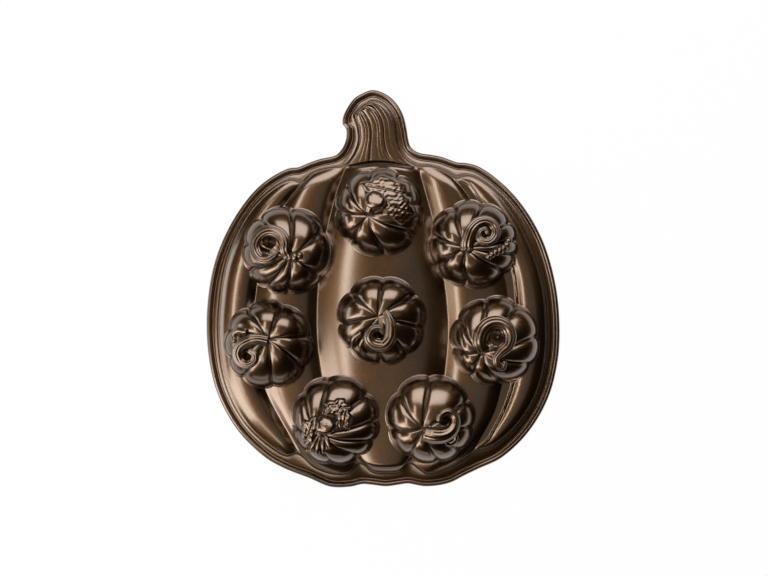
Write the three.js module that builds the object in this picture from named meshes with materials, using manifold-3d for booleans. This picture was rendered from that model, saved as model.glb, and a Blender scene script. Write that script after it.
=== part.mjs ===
// A cast aluminium cakelet pan in the outline of a pumpkin, lying rim down with its eight hollow cups up.
// Each natural region of the casting is a solid of its own: the rim, the five lobes of the panel, the
// ribbed handle and the eight cups. X runs to the right, Y towards the handle and Z up out of the panel.
import * as THREE from 'three';
import { mergeVertices } from 'three/addons/utils/BufferGeometryUtils.js';
import Module from 'manifold-3d';

const wasm = await Module();
wasm.setup();

// Overall sizes, in millimetres
const PAN_LENGTH = 330;
const WALL = 3;
const CLEARANCE = 0.3;
const OVERRUN = 4;

// Rim: a raised bead round the edge, a flat flange, and a step wall up to the panel
const FLANGE_THICKNESS = 3.4;
const BEAD_HEIGHT = 5.4;
const BEAD_CROWN_START = 1.4;
const BEAD_CROWN_END = 3;
const BEAD_FOOT = 5.2;
const BEAD_SIDE_HEIGHT = 3.8;
const EDGE_CHAMFER = 1;
const STEP_WIDTH = 1.4;
const STEP_INSIDE_WIDTH = 3.4;

// Panel: its grooves lie at the level of the step's top, and each lobe swells above that
const PANEL_LEVEL = 8;
const LOBE_RISE = 6.5;
const ARCH_POWER = 2.2;
const END_FALL = 22;
const NARROW_LOBE_WIDTH = 26;

// Handle: a crowned relief with six ribs
const HANDLE_CROWN = 2.4;
const HANDLE_RIBS = 6;
const HANDLE_RIB_HEIGHT = 1.3;
const COLUMNS_PER_RIB = 2;

// Cups: a straight skirt through the panel, then a ribbed dome
const CUP_RADIUS_SHARE = 0.2206;
const CUP_RADIUS = CUP_RADIUS_SHARE * PAN_LENGTH / 2;
const SKIRT_TOP = 12;
const DOME_HEIGHT = 26;
const GROOVE_DEPTH = 3;
const INNER_GROOVE_SHARE = 0.8;
const GROOVE_FADE_RADIUS = 9;
const DIMPLE_DEPTH = 3.5;
const DIMPLE_RADIUS = 12;
const DOME_ROUND_POWER = 2.2;
const PETAL_POWER = 0.6;
const POLE_SHIFT_POWER = 3;
const STEPS_PER_PETAL = 4;
const OUTER_RING_DEGREES = [68, 45, 22, 0];
const INNER_RING_DEGREES = [68, 34, 0];

// Stalks and leaves on the cups
const STALK_HEIGHT_SHARE = 0.95;
const STALK_ROOT = 9;
const STALK_SIDE_WALL = 2.2;
const STALK_LEAST_SLOT = 0.8;
const STALK_STEPS = 11;
const SHORT_STALK_STEPS = 3;
const LONG_STALK_ROWS = 5;
const STALK_END_SHARE = 0.45;
const STALK_SECTION_SHARES = [
  [1, 0], [0.65, 0.75], [0, 1], [-0.65, 0.75], [-1, 0], [-0.85, -1], [0.85, -1],
];
const LEAF_RISE = 2.6;
const LEAF_HALF_THICKNESS = 6;
const LEAF_SIDES = 8;
const LEAF_RINGS = 4;

// The outline in sections, clockwise from the handle's cut end. A row is a point of the pan's edge, and the
// point of the step's top that faces it: x, y, x, y as shares of half the pan's length.
const OUTLINE_SHARES = {
  handle_end: { steps: 4, rows: [
    [-0.199, 0.872, -0.137, 0.873], [-0.149, 0.948, -0.109, 0.897], [-0.119, 0.97, -0.084, 0.917],
  ] },
  handle_right: { steps: 8, rows: [
    [-0.069, 0.995, -0.056, 0.935], [0.01, 0.972, -0.016, 0.927], [0.065, 0.932, 0.019, 0.894],
    [0.1, 0.872, 0.042, 0.849], [0.117, 0.806, 0.051, 0.794], [0.127, 0.746, 0.059, 0.736],
    [0.136, 0.716, 0.077, 0.686], [0.148, 0.701, 0.102, 0.648], [0.167, 0.688, 0.135, 0.623],
  ] },
  right_top: { steps: 6, rows: [
    [0.193, 0.679, 0.175, 0.605], [0.235, 0.673, 0.226, 0.606], [0.289, 0.663, 0.276, 0.594],
    [0.335, 0.647, 0.321, 0.572],
  ] },
  far_right_side: { steps: 16, rows: [
    [0.373, 0.634, 0.367, 0.545], [0.415, 0.631, 0.404, 0.557], [0.48, 0.613, 0.452, 0.552],
    [0.597, 0.53, 0.555, 0.484], [0.707, 0.409, 0.651, 0.366], [0.803, 0.24, 0.733, 0.205],
    [0.865, 0.031, 0.792, 0.019], [0.887, -0.165, 0.812, -0.167], [0.879, -0.361, 0.806, -0.348],
    [0.83, -0.552, 0.762, -0.525], [0.731, -0.723, 0.673, -0.673], [0.595, -0.853, 0.548, -0.781],
  ] },
  right_bottom: { steps: 6, rows: [
    [0.48, -0.908, 0.457, -0.811], [0.411, -0.941, 0.38, -0.864], [0.329, -0.981, 0.301, -0.902],
    [0.213, -0.997, 0.216, -0.919],
  ] },
  middle_bottom: { steps: 8, rows: [
    [0.123, -0.983, 0.133, -0.869], [0.084, -0.988, 0.085, -0.912], [0.015, -0.997, 0.014, -0.922],
    [-0.06, -0.989, -0.056, -0.913],
  ] },
  left_bottom: { steps: 6, rows: [
    [-0.104, -0.986, -0.119, -0.869], [-0.165, -0.999, -0.172, -0.917], [-0.265, -0.999, -0.252, -0.922],
    [-0.376, -0.954, -0.343, -0.889],
  ] },
  far_left_side: { steps: 15, rows: [
    [-0.464, -0.921, -0.428, -0.821], [-0.511, -0.9, -0.479, -0.834], [-0.592, -0.853, -0.549, -0.799],
    [-0.734, -0.713, -0.685, -0.675], [-0.837, -0.522, -0.781, -0.494], [-0.883, -0.306, -0.819, -0.293],
    [-0.884, -0.074, -0.817, -0.087], [-0.842, 0.152, -0.782, 0.13], [-0.743, 0.365, -0.69, 0.343],
    [-0.617, 0.52, -0.572, 0.479], [-0.481, 0.602, -0.466, 0.537],
  ] },
  left_top: { steps: 6, rows: [
    [-0.426, 0.61, -0.411, 0.526], [-0.381, 0.629, -0.358, 0.569], [-0.318, 0.651, -0.303, 0.59],
    [-0.268, 0.661, -0.245, 0.6],
  ] },
  handle_left: { steps: 8, rows: [
    [-0.236, 0.672, -0.189, 0.608], [-0.205, 0.707, -0.139, 0.668], [-0.189, 0.746, -0.114, 0.738],
    [-0.185, 0.776, -0.114, 0.776], [-0.188, 0.803, -0.12, 0.814], [-0.205, 0.829, -0.13, 0.844],
  ] },
};

// The grooves between the lobes, from the foot of the pan to the top
const GROOVE_SHARES = {
  far_left: [[-0.428, -0.821], [-0.469, -0.741], [-0.529, -0.635], [-0.589, -0.514], [-0.638, -0.33],
    [-0.648, -0.132], [-0.61, 0.135], [-0.559, 0.286], [-0.484, 0.431], [-0.411, 0.526]],
  left: [[-0.119, -0.869], [-0.182, -0.786], [-0.242, -0.66], [-0.288, -0.535], [-0.33, -0.258],
    [-0.325, 0.029], [-0.283, 0.296], [-0.227, 0.507], [-0.189, 0.608]],
  right: [[0.133, -0.869], [0.185, -0.801], [0.241, -0.686], [0.284, -0.56], [0.323, -0.233],
    [0.305, 0.034], [0.251, 0.321], [0.216, 0.462], [0.175, 0.605]],
  far_right: [[0.457, -0.811], [0.49, -0.751], [0.528, -0.686], [0.565, -0.61], [0.603, -0.479],
    [0.631, -0.258], [0.625, -0.021], [0.573, 0.245], [0.517, 0.376], [0.462, 0.452], [0.367, 0.545]],
};

// The line where the handle's ribs meet the middle lobe, from left to right
const HANDLE_FOOT_SHARES = [
  [-0.189, 0.608], [-0.106, 0.625], [-0.016, 0.633], [0.085, 0.625], [0.175, 0.605],
];

// How far each lobe swells above its grooves, as a share of the highest rise, and its count of facets
const LOBES = {
  far_left: { riseShare: 0.7, across: 4, along: 15 },
  left: { riseShare: 0.7, across: 6, along: 12 },
  middle: { riseShare: 1, across: 8, along: 12 },
  right: { riseShare: 0.55, across: 6, along: 12 },
  far_right: { riseShare: 0.45, across: 4, along: 16 },
};

// The solids of the panel. A cup that spans the left lobe from groove to groove parts it in two, as another
// does on the right.
const PANEL_PIECES = {
  lobe_far_left: { lobe: 'far_left' },
  lobe_left_upper: { lobe: 'left', above: 'cup_top_left' },
  lobe_left_lower: { lobe: 'left', below: 'cup_top_left' },
  lobe_middle: { lobe: 'middle' },
  lobe_right_upper: { lobe: 'right', above: 'cup_top_right' },
  lobe_right_lower: { lobe: 'right', below: 'cup_top_right' },
  lobe_far_right: { lobe: 'far_right' },
};

// The cups. Places are shares of half the pan's length. Poles, where a cup's petals meet, and the rows of
// the stalks and leaves are shares of the cup's radius from its centre: a stalk row is x, y and half width,
// and a leaf row is x, y, half length, half width and its turn in degrees.
const CUPS = {
  cup_top: {
    placeShares: [-0.021, 0.381], poleShares: [-0.24, -0.11], petals: 9, turn: 20,
    stalkShares: [[[-0.24, -0.12, 0.13], [-0.17, 0.02, 0.17], [-0.06, 0.21, 0.21]]],
    leafShares: [[0.3, 0.33, 0.5, 0.36, 160], [0.42, -0.02, 0.26, 0.2, 20]],
  },
  cup_top_right: {
    placeShares: [0.447, 0.219], poleShares: [-0.19, -0.09], petals: 9, turn: 35,
    stalkShares: [[[-0.26, -0.05, 0.144], [-0.24, 0.15, 0.14], [-0.14, 0.34, 0.133], [0.05, 0.49, 0.129],
      [0.29, 0.52, 0.122], [0.51, 0.4, 0.115], [0.58, 0.18, 0.111], [0.49, -0.02, 0.102],
      [0.29, -0.1, 0.095], [0.12, 0.02, 0.08], [0.2, 0.19, 0.08]],
    [[0.72, 0.04, 0.07], [0.66, -0.14, 0.078], [0.36, -0.32, 0.067]]],
    leafShares: [],
  },
  cup_right: {
    placeShares: [0.557, -0.261], poleShares: [-0.31, -0.24], petals: 8, turn: 10,
    stalkShares: [[[-0.32, -0.24, 0.144], [-0.43, -0.02, 0.142], [-0.39, 0.23, 0.14], [-0.23, 0.4, 0.137],
      [-0.01, 0.44, 0.133], [0.21, 0.33, 0.129], [0.31, 0.11, 0.122], [0.26, -0.13, 0.111],
      [0.11, -0.27, 0.1], [-0.04, -0.37, 0.084], [-0.04, -0.54, 0.075], [0.11, -0.59, 0.071]]],
    leafShares: [],
  },
  cup_bottom_right: {
    placeShares: [0.234, -0.651], poleShares: [-0.16, -0.18], petals: 8, turn: 5,
    stalkShares: [[[-0.16, -0.18, 0.211], [0.04, -0.22, 0.2], [0.26, -0.22, 0.184], [0.46, -0.12, 0.162],
      [0.56, 0.07, 0.14], [0.5, 0.25, 0.124], [0.33, 0.32, 0.111], [0.2, 0.22, 0.098], [0.22, 0.08, 0.084]],
    [[0.55, -0.26, 0.055], [0.5, -0.38, 0.055], [0.35, -0.44, 0.055]]],
    leafShares: [],
  },
  cup_bottom_left: {
    placeShares: [-0.241, -0.659], poleShares: [-0.29, -0.24], petals: 8, turn: 5,
    stalkShares: [[[-0.31, -0.29, 0.122], [-0.25, -0.17, 0.155], [-0.15, 0.04, 0.206]]],
    leafShares: [[0.14, 0.39, 0.31, 0.2, 0], [-0.48, -0.14, 0.36, 0.22, 100]],
  },
  cup_left: {
    placeShares: [-0.571, -0.279], poleShares: [0.03, 0.13], petals: 10, turn: 15,
    stalkShares: [[[0.02, 0.12, 0.144], [-0.2, 0.12, 0.14], [-0.42, 0.06, 0.133], [-0.59, -0.09, 0.124],
      [-0.61, -0.31, 0.115], [-0.48, -0.48, 0.106], [-0.27, -0.47, 0.098], [-0.16, -0.3, 0.089],
      [-0.26, -0.18, 0.078]],
    [[-0.5, 0.28, 0.07], [-0.66, 0.26, 0.07], [-0.74, 0.12, 0.067]]],
    leafShares: [],
  },
  cup_top_left: {
    placeShares: [-0.479, 0.189], poleShares: [0.11, -0.13], petals: 9, turn: 0,
    stalkShares: [[[0.14, -0.26, 0.144], [0.04, -0.06, 0.14], [-0.02, 0.18, 0.137], [-0.19, 0.35, 0.137],
      [-0.42, 0.38, 0.133], [-0.61, 0.25, 0.129], [-0.66, 0.01, 0.124], [-0.57, -0.2, 0.115],
      [-0.36, -0.28, 0.1], [-0.25, -0.14, 0.08]]],
    leafShares: [],
  },
  cup_centre: {
    placeShares: [-0.009, -0.16], poleShares: [-0.07, 0.08], petals: 9, turn: 10,
    stalkShares: [[[0.11, 0.23, 0.055], [0.21, 0.06, 0.111], [0.28, -0.19, 0.144], [0.23, -0.44, 0.155],
      [0.01, -0.59, 0.155], [-0.24, -0.51, 0.14], [-0.3, -0.3, 0.122], [-0.16, -0.17, 0.106],
      [0.0, -0.22, 0.09]],
    [[-0.46, -0.26, 0.065], [-0.62, -0.36, 0.071], [-0.62, -0.54, 0.067]]],
    leafShares: [],
  },
};

const PAN_FINISH = { color: 0x6e4c30, roughness: 0.36, metalness: 0.85 };

// Geometry helpers

function signedVolume(geometry) {
  const position = geometry.attributes.position;
  const corners = [new THREE.Vector3(), new THREE.Vector3(), new THREE.Vector3()];
  let total = 0;
  for (let i = 0; i < geometry.index.count; i += 3) {
    corners.forEach((corner, k) => corner.fromBufferAttribute(position, geometry.index.getX(i + k)));
    total += corners[0].dot(corners[1].clone().cross(corners[2]));
  }
  return total;
}

// One closed body: shared corners merged, collapsed triangles dropped, faces turned outwards
function closedBody(geometry) {
  geometry.deleteAttribute('normal');
  geometry.deleteAttribute('uv');
  const merged = mergeVertices(geometry);
  const kept = [];
  for (let i = 0; i < merged.index.count; i += 3) {
    const triangle = [0, 1, 2].map((k) => merged.index.getX(i + k));
    if (new Set(triangle).size === 3) kept.push(triangle);
  }
  merged.setIndex(kept.flat());
  if (signedVolume(merged) < 0) merged.setIndex(kept.map((triangle) => triangle.reverse()).flat());
  return merged;
}

function solid(geometry) {
  const body = closedBody(geometry);
  return new wasm.Manifold(new wasm.Mesh({
    numProp: 3,
    vertProperties: new Float32Array(body.attributes.position.array),
    triVerts: new Uint32Array(body.index.array),
  }));
}

function geometryOf(manifold) {
  const mesh = manifold.getMesh();
  const geometry = new THREE.BufferGeometry();
  geometry.setAttribute('position', new THREE.BufferAttribute(mesh.vertProperties, 3));
  geometry.setIndex(new THREE.BufferAttribute(mesh.triVerts, 1));
  geometry.computeVertexNormals();
  return geometry;
}

// Moves each corner of a grid-like geometry to where place says; a row holds rowLength corners
function shapeByIndex(geometry, rowLength, place) {
  const position = geometry.attributes.position;
  for (let index = 0; index < position.count; index += 1) {
    const point = place(index % rowLength, Math.floor(index / rowLength));
    position.setXYZ(index, point.x, point.y, point.z);
  }
  return geometry;
}

function curveThrough(rows, closed = false) {
  const points = rows.map(([x, y]) => new THREE.Vector3(x, y, 0));
  return new THREE.CatmullRomCurve3(points, closed, 'centripetal');
}

// The outline in shares, and the step from shares to a real place with the middle of the pan at the origin

const outlineRows = Object.values(OUTLINE_SHARES).flatMap((section) => section.rows);
const edgeCurve = curveThrough(outlineRows.map((row) => row.slice(0, 2)), true);
const stepCurve = curveThrough(outlineRows.map((row) => row.slice(2)), true);

function stationsOf(name) {
  let firstRow = 0;
  for (const [other, section] of Object.entries(OUTLINE_SHARES)) {
    if (other === name) break;
    firstRow += section.rows.length;
  }
  const { steps, rows } = OUTLINE_SHARES[name];
  return Array.from({ length: steps + 1 }, (_, step) => {
    const along = ((firstRow + rows.length * step / steps) / outlineRows.length) % 1;
    return { edge: edgeCurve.getPoint(along), step: stepCurve.getPoint(along) };
  });
}

const sectionNames = Object.keys(OUTLINE_SHARES);
const sectionStations = Object.fromEntries(sectionNames.map((name) => [name, stationsOf(name)]));
const ringStations = Object.values(sectionStations).flatMap((stations) => stations.slice(0, -1));
const outlineBox = new THREE.Box3().setFromPoints(ringStations.map((station) => station.edge));
const outlineCentre = outlineBox.getCenter(new THREE.Vector3());
const shareLength = PAN_LENGTH / outlineBox.getSize(new THREE.Vector3()).y;

function placed(point) {
  return point.clone().sub(outlineCentre).multiplyScalar(shareLength);
}

function stepEdge(name) {
  return sectionStations[name].map((station) => placed(station.step));
}

function grooveEdge(rows, count) {
  const curve = curveThrough(rows);
  return Array.from({ length: count + 1 }, (_, i) => placed(curve.getPoint(i / count)));
}

// Rim

function rimProfile(width) {
  return [
    [0, EDGE_CHAMFER],
    [0, BEAD_SIDE_HEIGHT],
    [BEAD_CROWN_START, BEAD_HEIGHT],
    [BEAD_CROWN_END, BEAD_HEIGHT],
    [BEAD_FOOT, FLANGE_THICKNESS],
    [width - STEP_WIDTH - CLEARANCE, FLANGE_THICKNESS],
    [width - CLEARANCE, PANEL_LEVEL],
    [width - CLEARANCE, PANEL_LEVEL - WALL],
    [width - STEP_INSIDE_WIDTH - CLEARANCE, 0],
    [EDGE_CHAMFER, 0],
  ];
}

function rimGeometry() {
  const profilePoints = rimProfile(0).length;
  const grid = new THREE.TorusGeometry(1, 1, profilePoints, ringStations.length);
  return closedBody(shapeByIndex(grid, ringStations.length + 1, (station, corner) => {
    const edge = placed(ringStations[station % ringStations.length].edge);
    const inward = placed(ringStations[station % ringStations.length].step).sub(edge);
    const width = inward.length();
    const [distance, height] = rimProfile(width)[corner % profilePoints];
    return edge.addScaledVector(inward.normalize(), distance).setZ(height);
  }));
}

// A panel patch is stretched between four edges: left and right run up the pan, bottom and top across it

function patchPoint(edges, i, j) {
  const across = edges.bottom.length - 1;
  const along = edges.left.length - 1;
  const u = i / across;
  const v = j / along;
  const point = new THREE.Vector3();
  point.addScaledVector(edges.left[j], 1 - u).addScaledVector(edges.right[j], u);
  point.addScaledVector(edges.bottom[i], 1 - v).addScaledVector(edges.top[i], v);
  point.addScaledVector(edges.left[0], -(1 - u) * (1 - v)).addScaledVector(edges.right[0], -u * (1 - v));
  point.addScaledVector(edges.left[along], -(1 - u) * v).addScaledVector(edges.right[along], -u * v);
  return point;
}

function repeated(point, count) {
  return Array.from({ length: count + 1 }, () => point);
}

function lobeEdges(name) {
  const { across, along } = LOBES[name];
  const groove = (side) => grooveEdge(GROOVE_SHARES[side], along);
  const pointed = (side) => ({ bottom: repeated(side[0], across), top: repeated(side.at(-1), across) });
  if (name === 'far_left') {
    const left = stepEdge('far_left_side');
    return { left, right: groove('far_left'), ...pointed(left) };
  }
  if (name === 'far_right') {
    const right = stepEdge('far_right_side').reverse();
    return { left: groove('far_right'), right, ...pointed(right) };
  }
  const handleFoot = grooveEdge(HANDLE_FOOT_SHARES, across);
  const ends = {
    left: { sides: ['far_left', 'left'], bottom: 'left_bottom', top: stepEdge('left_top') },
    middle: { sides: ['left', 'right'], bottom: 'middle_bottom', top: handleFoot },
    right: { sides: ['right', 'far_right'], bottom: 'right_bottom', top: stepEdge('right_top') },
  }[name];
  return {
    left: groove(ends.sides[0]),
    right: groove(ends.sides[1]),
    bottom: stepEdge(ends.bottom).reverse(),
    top: ends.top,
  };
}

// Height of a lobe's upper face: an arch from groove to groove that falls to their level at both ends
function lobeHeight(name, edges, i, j) {
  const { riseShare, across } = LOBES[name];
  const along = edges.left.length - 1;
  const width = edges.left[j].distanceTo(edges.right[j]);
  const arch = 1 - Math.abs(2 * i / across - 1) ** ARCH_POWER;
  const toEnd = Math.min(patchPoint(edges, i, j).distanceTo(edges.bottom[i]),
    patchPoint(edges, i, j).distanceTo(edges.top[i]));
  const fall = 1 - Math.min(1, toEnd / END_FALL);
  const narrow = Math.min(1, width / NARROW_LOBE_WIDTH);
  return PANEL_LEVEL + LOBE_RISE * riseShare * arch * narrow * Math.sqrt(1 - fall ** 2);
}

// A closed slab under the patch. Its sides along the grooves keep half the clearance to the next lobe.
function slabGeometry(edges, across, along, height, sideGap) {
  const slab = new THREE.BoxGeometry(1, 1, 1, across, along, 1);
  const position = slab.attributes.position;
  for (let index = 0; index < position.count; index += 1) {
    const i = Math.round((position.getX(index) + 0.5) * across);
    const j = Math.round((position.getY(index) + 0.5) * along);
    const point = patchPoint(edges, i, j);
    const upper = position.getZ(index) > 0;
    point.x += sideGap * (1 - 2 * i / across);
    point.z = height(i, j) - (upper ? 0 : WALL);
    position.setXYZ(index, point.x, point.y, point.z);
  }
  return slab;
}

const lobeEdgeSets = Object.fromEntries(Object.keys(LOBES).map((name) => [name, lobeEdges(name)]));

function lobeSlab(name, sideGap) {
  const { across, along } = LOBES[name];
  const edges = lobeEdgeSets[name];
  return slabGeometry(edges, across, along, (i, j) => lobeHeight(name, edges, i, j), sideGap);
}

const panelMeshes = Object.keys(LOBES).map((name) => new THREE.Mesh(lobeSlab(name, 0),
  new THREE.MeshStandardMaterial({ side: THREE.DoubleSide })));

// The panel's upper face at a place, found by looking straight down on it
function panelHeight(x, y) {
  const above = new THREE.Vector3(x, y, PAN_LENGTH);
  const sight = new THREE.Raycaster(above, new THREE.Vector3(0, 0, -1));
  const hits = sight.intersectObjects(panelMeshes);
  return hits.length > 0 ? hits[0].point.z : PANEL_LEVEL;
}

// Handle

function handleGeometry() {
  const across = HANDLE_RIBS * COLUMNS_PER_RIB;
  const left = stepEdge('handle_left');
  const right = stepEdge('handle_right').reverse();
  const end = new THREE.CatmullRomCurve3(stepEdge('handle_end'), false, 'centripetal');
  const edges = {
    left,
    right,
    bottom: grooveEdge(HANDLE_FOOT_SHARES, across).map((point) => point.setY(point.y + CLEARANCE)),
    top: Array.from({ length: across + 1 }, (_, i) => end.getPoint(i / across)),
  };
  edges.left[0] = edges.bottom[0];
  edges.right[0] = edges.bottom[across];
  const height = (i) => {
    const crown = Math.sin(Math.PI * i / across) * HANDLE_CROWN;
    return PANEL_LEVEL + crown + (i % COLUMNS_PER_RIB === 1 ? HANDLE_RIB_HEIGHT : 0);
  };
  return closedBody(slabGeometry(edges, across, left.length - 1, height, 0));
}

// Cups

function cupCentre(cup) {
  const [x, y] = cup.placeShares;
  return placed(new THREE.Vector3(x, y, 0));
}

function placeOnCup(cup, x, y) {
  return cupCentre(cup).add(new THREE.Vector3(x * CUP_RADIUS, y * CUP_RADIUS, 0));
}

// Where a cup's dome has its ring at the given angle above the skirt, before the petals are cut in
function domeRing(cup, angle, inset) {
  const lift = Math.sin(angle) ** POLE_SHIFT_POWER;
  const radius = (CUP_RADIUS - inset) * Math.max(0, Math.cos(angle)) ** (2 / DOME_ROUND_POWER);
  const [poleX, poleY] = cup.poleShares;
  return {
    centre: cupCentre(cup).add(new THREE.Vector3(poleX * CUP_RADIUS * lift, poleY * CUP_RADIUS * lift, 0)),
    radius,
    height: SKIRT_TOP + (DOME_HEIGHT - inset) * Math.sin(angle),
  };
}

// 0 in the groove between two petals, 1 on the middle of a petal
function petalSwell(cup, direction) {
  const turned = direction - THREE.MathUtils.degToRad(cup.turn);
  return Math.abs(Math.sin(turned * cup.petals / 2)) ** PETAL_POWER;
}

function domePoint(cup, direction, angle, inset) {
  const ring = domeRing(cup, angle, inset);
  const depth = GROOVE_DEPTH * (inset > 0 ? INNER_GROOVE_SHARE : 1) * (1 - petalSwell(cup, direction));
  const radius = ring.radius - depth * Math.cos(angle);
  const fade = Math.min(1, ring.radius / GROOVE_FADE_RADIUS);
  const dimple = DIMPLE_DEPTH * Math.max(0, 1 - ring.radius / DIMPLE_RADIUS) ** 2;
  return new THREE.Vector3(
    ring.centre.x + radius * Math.cos(direction),
    ring.centre.y + radius * Math.sin(direction),
    ring.height - depth * Math.sin(angle) * fade - dimple,
  );
}

// The smooth dome's height at a place, found by halving between the skirt and the pole
function domeHeight(cup, x, y) {
  let low = 0;
  let high = Math.PI / 2;
  for (let pass = 0; pass < 24; pass += 1) {
    const middle = (low + high) / 2;
    const ring = domeRing(cup, middle, 0);
    const inside = Math.hypot(x - ring.centre.x, y - ring.centre.y) < ring.radius;
    if (inside) low = middle;
    else high = middle;
  }
  return domeRing(cup, low, 0).height;
}

// A closed dome made of rings, from its pole down to the middle of its foot
function domeBody(cup, ringDegrees, inset, footHeight) {
  const around = cup.petals * STEPS_PER_PETAL;
  const firstGroove = THREE.MathUtils.degToRad(cup.turn);
  const rings = [90, ...ringDegrees].map(THREE.MathUtils.degToRad);
  const grid = new THREE.SphereGeometry(1, around, rings.length + 1);
  return shapeByIndex(grid, around + 1, (step, ring) => {
    const direction = firstGroove + 2 * Math.PI * (step % around) / around;
    if (ring < rings.length) return domePoint(cup, direction, rings[ring], inset);
    const foot = ring === rings.length ? domePoint(cup, direction, 0, inset) : cupCentre(cup);
    return foot.setZ(footHeight(foot));
  });
}

function cupOutside(cup) {
  return domeBody(cup, OUTER_RING_DEGREES, 0, ({ x, y }) => panelHeight(x, y) - WALL);
}

function cupInside(cup) {
  return domeBody(cup, INNER_RING_DEGREES, WALL, () => -OVERRUN);
}

// A bent bar along a route on the dome. Its section stays upright: rounded above, square below.
function bentBar(points, halfWidths, heights, depth, steps) {
  const route = new THREE.CatmullRomCurve3(points, false, 'centripetal');
  const sides = STALK_SECTION_SHARES.length;
  const grid = new THREE.SphereGeometry(1, sides, steps + 2);
  const sizeAt = (sizes, along) => {
    const place = along * (sizes.length - 1);
    const before = Math.min(Math.floor(place), sizes.length - 2);
    return THREE.MathUtils.lerp(sizes[before], sizes[before + 1], place - before);
  };
  return shapeByIndex(grid, sides + 1, (side, ring) => {
    const along = THREE.MathUtils.clamp((ring - 1) / steps, 0, 1);
    const centre = route.getPoint(along);
    const forward = route.getTangent(along);
    const halfWidth = sizeAt(halfWidths, along);
    if (ring === 0) return centre.addScaledVector(forward, -halfWidth * STALK_END_SHARE);
    if (ring === steps + 2) return centre.addScaledVector(forward, halfWidth * STALK_END_SHARE);
    const sideways = new THREE.Vector3(-forward.y, forward.x, 0).normalize();
    const [across, up] = STALK_SECTION_SHARES[side % sides];
    centre.addScaledVector(sideways, halfWidth * across);
    return centre.setZ(centre.z + up * (up > 0 ? sizeAt(heights, along) : depth));
  });
}

function stalkBars(cup, rows) {
  const places = rows.map(([x, y]) => placeOnCup(cup, x, y));
  const halfWidths = rows.map((row) => row[2] * CUP_RADIUS);
  const points = places.map(({ x, y }) => new THREE.Vector3(x, y, domeHeight(cup, x, y)));
  const steps = rows.length > LONG_STALK_ROWS ? STALK_STEPS : SHORT_STALK_STEPS;
  const heights = halfWidths.map((half) => half * STALK_HEIGHT_SHARE);
  const outer = solid(bentBar(points, halfWidths, heights, STALK_ROOT, steps));
  if (Math.max(...halfWidths) < WALL) return { outer };
  const slotPoints = points.map((point) => point.clone().setZ(point.z - WALL));
  const slotWidths = halfWidths.map((half) => Math.max(half - STALK_SIDE_WALL, STALK_LEAST_SLOT));
  const inner = solid(bentBar(slotPoints, slotWidths, heights, OVERRUN, steps));
  return { outer, inner };
}

// A leaf is a lens let into the dome, square to its slope
function leafLens(cup, [x, y, halfLength, halfWidth, turn]) {
  const place = placeOnCup(cup, x, y);
  const height = domeHeight(cup, place.x, place.y);
  const slopeX = (domeHeight(cup, place.x + LEAF_RISE, place.y) - height) / LEAF_RISE;
  const slopeY = (domeHeight(cup, place.x, place.y + LEAF_RISE) - height) / LEAF_RISE;
  const normal = new THREE.Vector3(-slopeX, -slopeY, 1).normalize();
  const upright = new THREE.Quaternion().setFromUnitVectors(new THREE.Vector3(0, 0, 1), normal);
  const lens = new THREE.SphereGeometry(1, LEAF_SIDES, LEAF_RINGS);
  const sunk = LEAF_HALF_THICKNESS - LEAF_RISE;
  const spread = CUP_RADIUS / Math.sqrt(1 - (sunk / LEAF_HALF_THICKNESS) ** 2);
  lens.scale(halfLength * spread, halfWidth * spread, LEAF_HALF_THICKNESS);
  lens.rotateZ(THREE.MathUtils.degToRad(turn));
  lens.applyQuaternion(upright);
  lens.translate(place.x - normal.x * sunk, place.y - normal.y * sunk, height - normal.z * sunk);
  return { outer: solid(lens) };
}

function cupGeometry(cup) {
  const forms = [
    ...cup.stalkShares.map((rows) => stalkBars(cup, rows)),
    ...cup.leafShares.map((row) => leafLens(cup, row)),
  ];
  let shell = solid(cupOutside(cup));
  for (const form of forms) shell = shell.add(form.outer);
  shell = shell.subtract(solid(cupInside(cup)));
  for (const form of forms.filter(({ inner }) => inner)) shell = shell.subtract(form.inner);
  return geometryOf(shell);
}

// The hole that a cup's skirt takes in the panel
function skirtHole(cup) {
  const around = cup.petals * STEPS_PER_PETAL;
  const firstGroove = THREE.MathUtils.degToRad(cup.turn);
  const corners = Array.from({ length: around }, (_, step) => {
    const direction = firstGroove + 2 * Math.PI * step / around;
    const point = domePoint(cup, direction, 0, -CLEARANCE);
    return new THREE.Vector2(point.x, point.y);
  });
  const depth = SKIRT_TOP + DOME_HEIGHT + 2 * OVERRUN;
  return solid(new THREE.ExtrudeGeometry(new THREE.Shape(corners), { depth, bevelEnabled: false })
    .translate(0, 0, -OVERRUN));
}

const skirtHoles = Object.values(CUPS).map(skirtHole);

// A block that holds everything above (sense 1) or below (sense -1) a cup's middle
function halfSpace(cup, sense) {
  const block = new THREE.BoxGeometry(PAN_LENGTH, PAN_LENGTH, PAN_LENGTH);
  return solid(block.translate(0, cupCentre(cup).y + sense * PAN_LENGTH / 2, 0));
}

function panelPieceGeometry({ lobe, above, below }) {
  let slab = solid(lobeSlab(lobe, CLEARANCE / 2));
  for (const hole of skirtHoles) slab = slab.subtract(hole);
  if (above) slab = slab.intersect(halfSpace(CUPS[above], 1));
  if (below) slab = slab.intersect(halfSpace(CUPS[below], -1));
  return geometryOf(slab);
}

// The pan

const pan = new THREE.Group();

function addPart(name, geometry) {
  const mesh = new THREE.Mesh(geometry, new THREE.MeshStandardMaterial(PAN_FINISH));
  mesh.name = name;
  pan.add(mesh);
}

addPart('rim', rimGeometry());
addPart('handle', handleGeometry());
for (const [name, piece] of Object.entries(PANEL_PIECES)) addPart(name, panelPieceGeometry(piece));
for (const [name, cup] of Object.entries(CUPS)) addPart(name, cupGeometry(cup));

export default pan;
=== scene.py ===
"""Looks of the cast pumpkin cakelet pan: each region of the casting is built over its own solid."""

import math

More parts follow.
